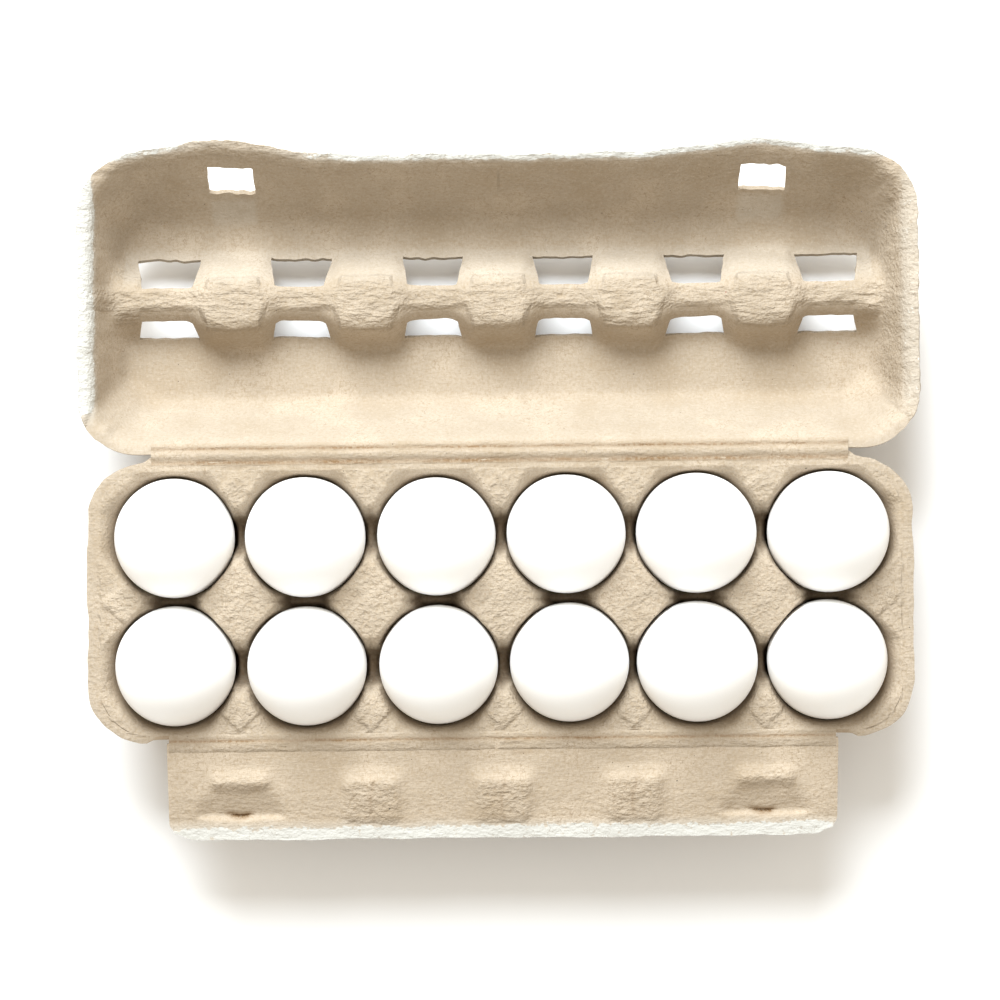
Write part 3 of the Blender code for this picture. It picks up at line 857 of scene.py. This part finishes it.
def rim_sheet():
    """The flat rim round all the cells."""
    sides = [(k, 0, 0) for k in range(COLUMNS)] + [(COLUMNS - 1, k, 1) for k in range(ROWS)]
    sides += [(k, 1, 2) for k in reversed(range(COLUMNS))] + [(0, k, 3) for k in reversed(range(ROWS))]
    inner = []
    for column, row, side in sides:
        corners = cell_corners(column, row)
        inner.append(cell_side(corners[side], corners[(side + 1) % 4])[0])
    inner = np.concatenate(inner)
    inner = np.concatenate((inner, inner[:1]))
    outer = np.array([rim_outside(point) for point in inner])
    rings = np.arange(RIM_STEPS + 1)
    table = np.array([inner + (outer - inner) * k / RIM_STEPS for k in rings])
    away = rings[:, None] * np.ones(len(inner))
    x, y = table[..., 0], table[..., 1]
    free = smoothstep(126 * MM, 132 * MM, np.abs(x)) * away / RIM_STEPS
    ragged = 0.45 * MM * wobble(x, y, 4 * MM, 7.0) + 0.75 * MM * wobble(x, y, 13 * MM, 8.0) - 0.25 * MM
    middle = np.abs(inner) - np.array((EDGE_X - TRAY_CORNER, EDGE_Y - TRAY_CORNER))
    outward = np.sign(inner) * np.maximum(middle, 1e-6)
    outward /= np.hypot(outward[:, 0], outward[:, 1])[:, None]
    table = table + (ragged * free)[..., None] * outward
    height = RIM_HEIGHT - 0.3 * MM * smoothstep(3.0, 5.0, away)
    # small grooves beside the half posts, pressed in and darkened as painted shade, most at the front
    gap = np.abs((inner[:, 0] / PITCH_X + 0.5) % 1.0 - 0.5) * PITCH_X
    shaded = bell(gap, 5.5 * MM) * (np.abs(inner[:, 0]) < 110 * MM)
    patchy = 0.6 + 0.4 * wobble(inner[:, 0], 0.0 * gap, 7 * MM, 9.0)
    shaded = shaded * np.where(inner[:, 1] < 0.0, 0.85, 0.35) * patchy
    painted_shade = np.clip(shaded * bell(away - 1.0, 0.8), 0.0, 1.0)
    height = height - 0.5 * MM * painted_shade
    # painted shade along the front rim, patchy
    front = (inner[:, 1] < 0.0) * (np.abs(inner[:, 0]) < 125 * MM)
    front = front * (0.42 + 0.25 * wobble(x, y, 9 * MM, 10.0))
    painted_shade = np.maximum(painted_shade, np.clip(front, 0.0, 1.0))
    table = np.stack((table[..., 0], table[..., 1] + TRAY_Y, height), axis=-1)
    marks = {"lumps": 0.30 + 0.02 * away, "painted_shade": painted_shade, "bleach_and_painted_light": 0.12 * away / RIM_STEPS * free}
    return grid_sheet("rim", table[:, ::-1], {name: mark[:, ::-1] for name, mark in marks.items()})


class CARTON_OT_tray(bpy.types.Operator):
    """Press the tray: twelve cups, the posts between them and the flat rim"""
    bl_idname = "carton.press_tray"
    bl_label = "Tray"

    def execute(self, context):
        sizes, colours = context.scene.carton_sizes, context.scene.carton_colours
        parts = [cup_sheet(column, row) for column in range(COLUMNS) for row in range(ROWS)]
        parts.append(rim_sheet())
        bpy.ops.object.select_all(action="DESELECT")
        for part in parts:
            part.select_set(True)
        piece = parts[0]
        bpy.context.view_layer.objects.active = piece
        bpy.ops.object.join()
        piece.name = piece.data.name = "tray_sheet"
        merge(piece, 0.05 * MM)
        turn_upwards(piece)
        soften(piece, 2)
        group = lump_group(piece, 0.08)
        roughen(piece, "tray lumps", 5.0 * MM, sizes.roughness * 0.9, group)
        roughen(piece, "tray grain", 1.8 * MM, sizes.roughness * 0.6, group)
        thicken(piece, sizes.pulp)
        material = pulp_material("tray pulp", colours.pulp, colours.painted_shade, (0.8, 1.0, 1.0))
        finish_sheet(piece, material, "tray", "tray", 0.0)
        return {"FINISHED"}


def turn_upwards(piece):
    """Flips an open sheet if its faces point down on the whole."""
    if read_values(piece.data.polygons, "normal", 3)[:, 2].sum() < 0.0:
        piece.data.flip_normals()


# ---------------------------------------------------------------- flap

# millimetres: the flap's key rows, and the height and half width of its knobs and bumps at each
FLAP_ROWS = (0.3, 9.2, 14.7, 21.0, 28.0, 29.5, 37.0)
FLAP_ROW_COUNTS = (8, 6, 7, 8, 3, 8)
KNOB_HEIGHTS = (0.0, 0.0, 1.5, -0.4, -1.8, 0.0, 0.6)
BUMP_HEIGHTS = (0.0, 0.0, 1.5, 1.2, 0.7, 0.4, 0.6)
PLAIN_HEIGHTS = (0.0, 0.0, 0.0, 0.0, 0.0, 0.0, 0.6)
KNOB_HALF = (8.0, 8.5, 8.0, 10.0, 12.5, 11.0, 10.0)
BUMP_HALF = (8.5,) * len(FLAP_ROWS)
BUMP_SKIRT = 4.8


def flap_tables():
    """X, distance from the fold and height where the flap's key lines cross."""
    lines = [([-FLAP_HALF / MM] * len(FLAP_ROWS), PLAIN_HEIGHTS)]
    counts = []
    for k in range(COLUMNS - 1):
        centre = middle_of(k, COLUMNS - 1, PITCH_X) / MM
        halves, heights = (KNOB_HALF, KNOB_HEIGHTS) if k in LOCKS else (BUMP_HALF, BUMP_HEIGHTS)
        lines.append(([centre - half - BUMP_SKIRT for half in halves], PLAIN_HEIGHTS))
        lines.append(([centre - half for half in halves], heights))
        lines.append(([centre + half for half in halves], heights))
        lines.append(([centre + half + BUMP_SKIRT for half in halves], PLAIN_HEIGHTS))
        counts += [12 if k == 0 else 18, 4, 17, 4]
    lines.append(([FLAP_HALF / MM] * len(FLAP_ROWS), PLAIN_HEIGHTS))
    counts.append(12)
    x = np.array([line[0] for line in lines]).T
    height = np.array([line[1] for line in lines]).T
    reach = np.array(FLAP_ROWS)[:, None] * np.ones(len(lines))
    return (spread(table * MM, FLAP_ROW_COUNTS, counts) for table in (x, reach, height))


def flap_to_row(x, reach, height):
    """Places of the flap in the carton's frame, set on its fold line and drooping."""
    cosine, sine = math.cos(FLAP_DROOP), math.sin(FLAP_DROOP)
    lifted = height + FLAP_TOP
    return np.stack(
        (x, FOLD.y - reach * cosine - lifted * sine, FOLD.z - reach * sine + lifted * cosine), axis=-1)


class CARTON_OT_flap(bpy.types.Operator):
    """Press the front flap with its two locks, three shallow bumps and a lip paled partly as painted
    highlight
    """
    bl_idname = "carton.press_flap"
    bl_label = "Flap"

    def execute(self, context):
        sizes, colours = context.scene.carton_sizes, context.scene.carton_colours
        x, reach, height = flap_tables()
        end = reach / FLAP_REACH
        corner = smoothstep(0.82, 1.0, end) * smoothstep(FLAP_HALF - 9 * MM, FLAP_HALF, np.abs(x))
        reach = reach - corner * 2.6 * MM
        x = x - np.sign(x) * corner * 1.6 * MM
        lumps = 0.10 + 0.22 * smoothstep(14 * MM, 22 * MM, reach)
        painted_shade = 0.0 * x
        for k in range(COLUMNS - 1):
            away = x - middle_of(k, COLUMNS - 1, PITCH_X)
            if k in LOCKS:
                # the lock's slit: a groove painted dark as shade
                bend = reach + 0.05 * away * away / MM
                slit = bell(bend - 28.4 * MM, 0.8 * MM)
                slit *= fade(3.4 * MM, 5.0 * MM, np.abs(away + 0.8 * MM))
                height = height - 1.6 * MM * slit
                painted_shade = np.maximum(painted_shade, 1.3 * slit)
                crest = bell(reach - 15.2 * MM, 3.4 * MM)
                lumps = np.maximum(lumps, 0.9 * crest * fade(8 * MM, 12 * MM, np.abs(away)))
            else:
                body = smoothstep(11 * MM, 17 * MM, reach) * fade(29 * MM, 33 * MM, reach)
                # a thin wandering groove over the bump, painted dark as shade
                line = bell(away + 0.7 * MM * np.sin(reach / (3 * MM)), 0.55 * MM) * body
                line *= 0.5 + 0.5 * wobble(x, reach, 4 * MM, 15.0 + k)
                height = height - 0.45 * MM * line
                painted_shade = np.maximum(painted_shade, 0.8 * line)
                lumps = np.maximum(lumps, 0.85 * body * fade(7 * MM, 13 * MM, np.abs(away)))
        # painted shade in a broken band along the fold
        broken = smoothstep(0.05, 0.35, wobble(x, 0.0 * x, 17 * MM, 17.0))
        painted_shade = np.maximum(painted_shade, 0.6 * broken * bell(reach - 4.4 * MM, 0.5 * MM))
        lumps = np.clip(lumps, 0.06, 1.0)
        # the lip paled, partly pale edge and partly painted highlight where it turns up to the light
        bleach_and_painted_light = 0.78 * smoothstep(28.5 * MM, 34.0 * MM, reach)
        ragged = sizes.waviness * smoothstep(2 * MM, 8 * MM, reach)
        torn = 0.6 * wobble(x, reach, 3.5 * MM, 11.0) + 0.8 * wobble(x, reach, 15 * MM, 12.0)
        reach = reach + ragged * torn
        height = height + ragged * 0.9 * wobble(x, reach, 30 * MM, 13.0)
        places = flap_to_row(x, reach, height)[:, ::-1]
        marks = {"lumps": lumps[:, ::-1], "painted_shade": painted_shade[:, ::-1], "bleach_and_painted_light": bleach_and_painted_light[:, ::-1]}
        piece = grid_sheet("flap_sheet", places, marks)
        soften(piece, 2)
        group = lump_group(piece, 0.08)
        roughen(piece, "flap lumps", 4.5 * MM, sizes.roughness * 1.1, group)
        roughen(piece, "flap grain", 1.8 * MM, sizes.roughness * 0.8, group)
        thicken(piece, sizes.pulp)
        # a paler copy of the pulp for the flap, as painted light
        painted_brighter_pulp = [FLAP_PAINTED_BRIGHTENING * c for c in colours.pulp]
        material = pulp_material("flap pulp", painted_brighter_pulp, colours.painted_shade, (0.6, 1.0, 1.0))
        finish_sheet(piece, material, "flap", "flap", 20 * MM)
        return {"FINISHED"}


# ---------------------------------------------------------------- folds

# how each fold's skin runs across it: place along Y, height and how much painted shade its valleys take
HINGE_LINE = (
    (-4.5, -0.70, 0.0), (-3.9, -0.24, 0.2), (-3.3, -0.20, 0.9), (-2.7, -0.26, 1.0), (-2.1, -0.12, 0.6),
    (-1.4, 0.35, 0.1), (-0.6, 0.70, 0.0), (0.2, 0.74, 0.0), (0.9, 0.45, 0.1), (1.5, 0.12, 0.4),
    (2.1, 0.02, 1.0), (2.7, 0.08, 0.5), (3.4, 0.00, 0.1), (4.2, -0.90, 0.0),
)
FOLD_LINE = (
    (-4.2, -1.10, 0.0), (-3.5, -0.14, 0.0), (-2.5, 0.08, 0.0), (-1.5, 0.29, 0.0), (-0.6, 0.45, 0.1),
    (0.0, 0.44, 0.5), (0.4, 0.30, 1.0), (0.8, 0.34, 0.7), (1.3, 0.42, 0.2), (2.1, 0.42, 0.0),
    (2.9, 0.38, 0.0), (3.4, -0.30, 0.0),
)


def fold_skin(name, line, centre, half, seed):
    """The skin of pulp that stays whole across a fold."""
    steps = 2 * int(half / (1.2 * MM))
    along = np.linspace(-half, half, steps + 1)
    across = np.array(line)
    x = np.ones(len(line))[:, None] * along
    y = across[:, 0][:, None] * MM + 0.25 * MM * wobble(x, x * 0, 9 * MM, seed)
    z = across[:, 1][:, None] * MM + 0.10 * MM * wobble(x, y, 4 * MM, seed + 1.0)
    patchy = 0.5 + 0.5 * smoothstep(-0.4, 0.3, wobble(x, x * 0, 22 * MM, seed + 2.0))
    # painted shade in the fold's valleys, patchy along it
    valley_shade = across[:, 2][:, None] * patchy * np.ones_like(x)
    marks = {"lumps": 0.45 + 0.0 * x, "painted_shade": valley_shade, "bleach_and_painted_light": 0.0 * x}
    piece = grid_sheet(name, np.stack((x, centre.y + y, centre.z + z), axis=-1), marks)
    group = lump_group(piece, 0.3)
    roughen(piece, name + " grain", 1.8 * MM, 0.25 * MM, group)
    thicken(piece, 0.9 * MM)
    return piece


class CARTON_OT_folds(bpy.types.Operator):
    """Lay the two living hinges: the skin behind the tray and the skin in front of it"""
    bl_idname = "carton.lay_folds"
    bl_label = "Folds"

    def execute(self, context):
        colours = context.scene.carton_colours
        lid_fold = fold_skin("lid_fold", HINGE_LINE, HINGE, 126.2 * MM, 21.0)
        material = pulp_material("lid fold pulp", colours.pulp, colours.painted_shade, (0.3, 1.0, 1.0))
        finish_sheet(lid_fold, material, None, None, 30 * MM)
        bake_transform(lid_fold)
        flap_fold = fold_skin("flap_fold", FOLD_LINE, FOLD, 120.8 * MM, 31.0)
        material = pulp_material("flap fold pulp", colours.pulp, colours.painted_shade, (0.3, 1.0, 1.0))
        finish_sheet(flap_fold, material, None, None, 30 * MM)
        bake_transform(flap_fold)
        return {"FINISHED"}


# ---------------------------------------------------------------- eggs

class CARTON_OT_eggs(bpy.types.Operator):
    """Stand twelve eggs in the cups, each leaning as its packed one does"""
    bl_idname = "carton.stand_eggs"
    bl_label = "Eggs"

    def execute(self, context):
        sizes, colours = context.scene.carton_sizes, context.scene.carton_colours
        material = shell_material("eggshell", colours.shell)
        for number in range(1, COLUMNS * ROWS + 1):
            node = f"egg_{number}"
            foot, top = egg_axis(frame["nodes"][node])
            scale = (top - foot).length / EGG_LENGTH
            bpy.ops.object.select_all(action="DESELECT")
            bpy.ops.mesh.primitive_uv_sphere_add(segments=72, ring_count=44, radius=1.0)
            egg = bpy.context.object
            egg.name = egg.data.name = f"eggshell_{number}"
            turn = (top - foot).to_track_quat("Z", "Y")
            for vertex in egg.data.vertices:
                s = vertex.co.z
                bulk = 1.0 + 0.004 * noise.noise(vertex.co * 1.7 + Vector((0, 0, number)))
                girth = sizes.egg_girth * scale * (1.0 + 0.14 * s) * bulk
                place = Vector((vertex.co.x * girth, vertex.co.y * girth, (1.0 + s) * EGG_LENGTH / 2 * scale))
                vertex.co = foot + turn @ place
            egg.data.materials.append(material)
            pick(egg)
            bpy.ops.object.shade_smooth()
            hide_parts(node)
            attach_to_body(egg, "tray")
        return {"FINISHED"}


# ---------------------------------------------------------------- stage

def soft_light(name, place, aim, size, power, tint):
    data = bpy.data.lights.new(name, "AREA")
    data.shape = "DISK"
    data.size = size
    data.energy = power
    data.color = tint
    lamp = bpy.data.objects.new(name, data)
    lamp.location = place
    lamp.rotation_euler = (Vector(aim) - Vector(place)).to_track_quat("-Z", "Y").to_euler()
    bpy.context.scene.collection.objects.link(lamp)


LIGHT_PLACE, LIGHT_AIM = (-0.27, 1.27, 1.10), (0.0, 0.0, 0.02)
LIGHT_SIZE, LIGHT_POWER, LIGHT_TINT = 1.1, 63.0, (0.88, 0.945, 1.0)
ROOM_TINT, ROOM_STRENGTH = (1.0, 0.94, 0.84), 0.86
FLOOR_SIZE = 6.0
CAMERA_LENS, CAMERA_HEIGHT, CAMERA_ROLL = 99.4, 1.041, math.radians(-0.6)


class CARTON_OT_stage(bpy.types.Operator):
    """Set the pale floor, the soft light and the camera"""
    bl_idname = "carton.set_stage"
    bl_label = "Stage"

    def execute(self, context):
        scene = context.scene
        bpy.ops.object.select_all(action="DESELECT")
        bpy.ops.mesh.primitive_plane_add(size=FLOOR_SIZE, location=(0.0, 0.0, 0.0))
        floor = context.object
        floor.name = floor.data.name = "floor"
        floor.data.materials.append(floor_material("pale floor", scene.carton_colours.floor))
        soft_light("window light", LIGHT_PLACE, LIGHT_AIM, LIGHT_SIZE, LIGHT_POWER, LIGHT_TINT)
        world = bpy.data.worlds.new("studio")
        world.use_nodes = True
        background = world.node_tree.nodes["Background"]
        background.inputs["Color"].default_value = colour(ROOM_TINT)
        background.inputs["Strength"].default_value = ROOM_STRENGTH
        scene.world = world
        scene.view_settings.view_transform = "Standard"
        data = bpy.data.cameras.new("camera")
        data.lens = CAMERA_LENS
        data.sensor_width = 36.0
        camera = bpy.data.objects.new("camera", data)
        camera.location = (0.0, TRAY_Y + 36.2 * MM, CAMERA_HEIGHT)
        camera.rotation_euler = (0.0, 0.0, CAMERA_ROLL)
        scene.collection.objects.link(camera)
        scene.camera = camera
        return {"FINISHED"}


# ---------------------------------------------------------------- panel and start

class CARTON_PT_panel(bpy.types.Panel):
    """The carton's pieces and what can be changed on them"""
    bl_label = "Egg carton"
    bl_idname = "CARTON_PT_panel"
    bl_space_type = "VIEW_3D"
    bl_region_type = "UI"
    bl_category = "Egg carton"

    def draw(self, context):
        layout = self.layout
        for operator in OPERATORS:
            layout.operator(operator.bl_idname)
        for name in ("pulp", "roughness", "waviness", "egg_girth"):
            layout.prop(context.scene.carton_sizes, name)
        for name in ("pulp", "painted_shade", "shell", "floor"):
            layout.prop(context.scene.carton_colours, name)


OPERATORS = (
    CARTON_OT_tray, CARTON_OT_lid, CARTON_OT_flap, CARTON_OT_folds, CARTON_OT_eggs, CARTON_OT_stage,
)
CLASSES = (CartonSizes, CartonColours) + OPERATORS + (CARTON_PT_panel,)


def register():
    for item in CLASSES:
        bpy.utils.register_class(item)
    bpy.types.Scene.carton_sizes = PointerProperty(type=CartonSizes)
    bpy.types.Scene.carton_colours = PointerProperty(type=CartonColours)


def unregister():
    del bpy.types.Scene.carton_colours
    del bpy.types.Scene.carton_sizes
    for item in reversed(CLASSES):
        bpy.utils.unregister_class(item)


def main():
    register()
    bpy.ops.object.select_all(action="DESELECT")
    bpy.ops.carton.press_tray()
    bpy.ops.carton.press_lid()
    bpy.ops.carton.press_flap()
    bpy.ops.carton.lay_folds()
    bpy.ops.carton.stand_eggs()
    bpy.ops.carton.set_stage()


if __name__ == "__main__":
    main()
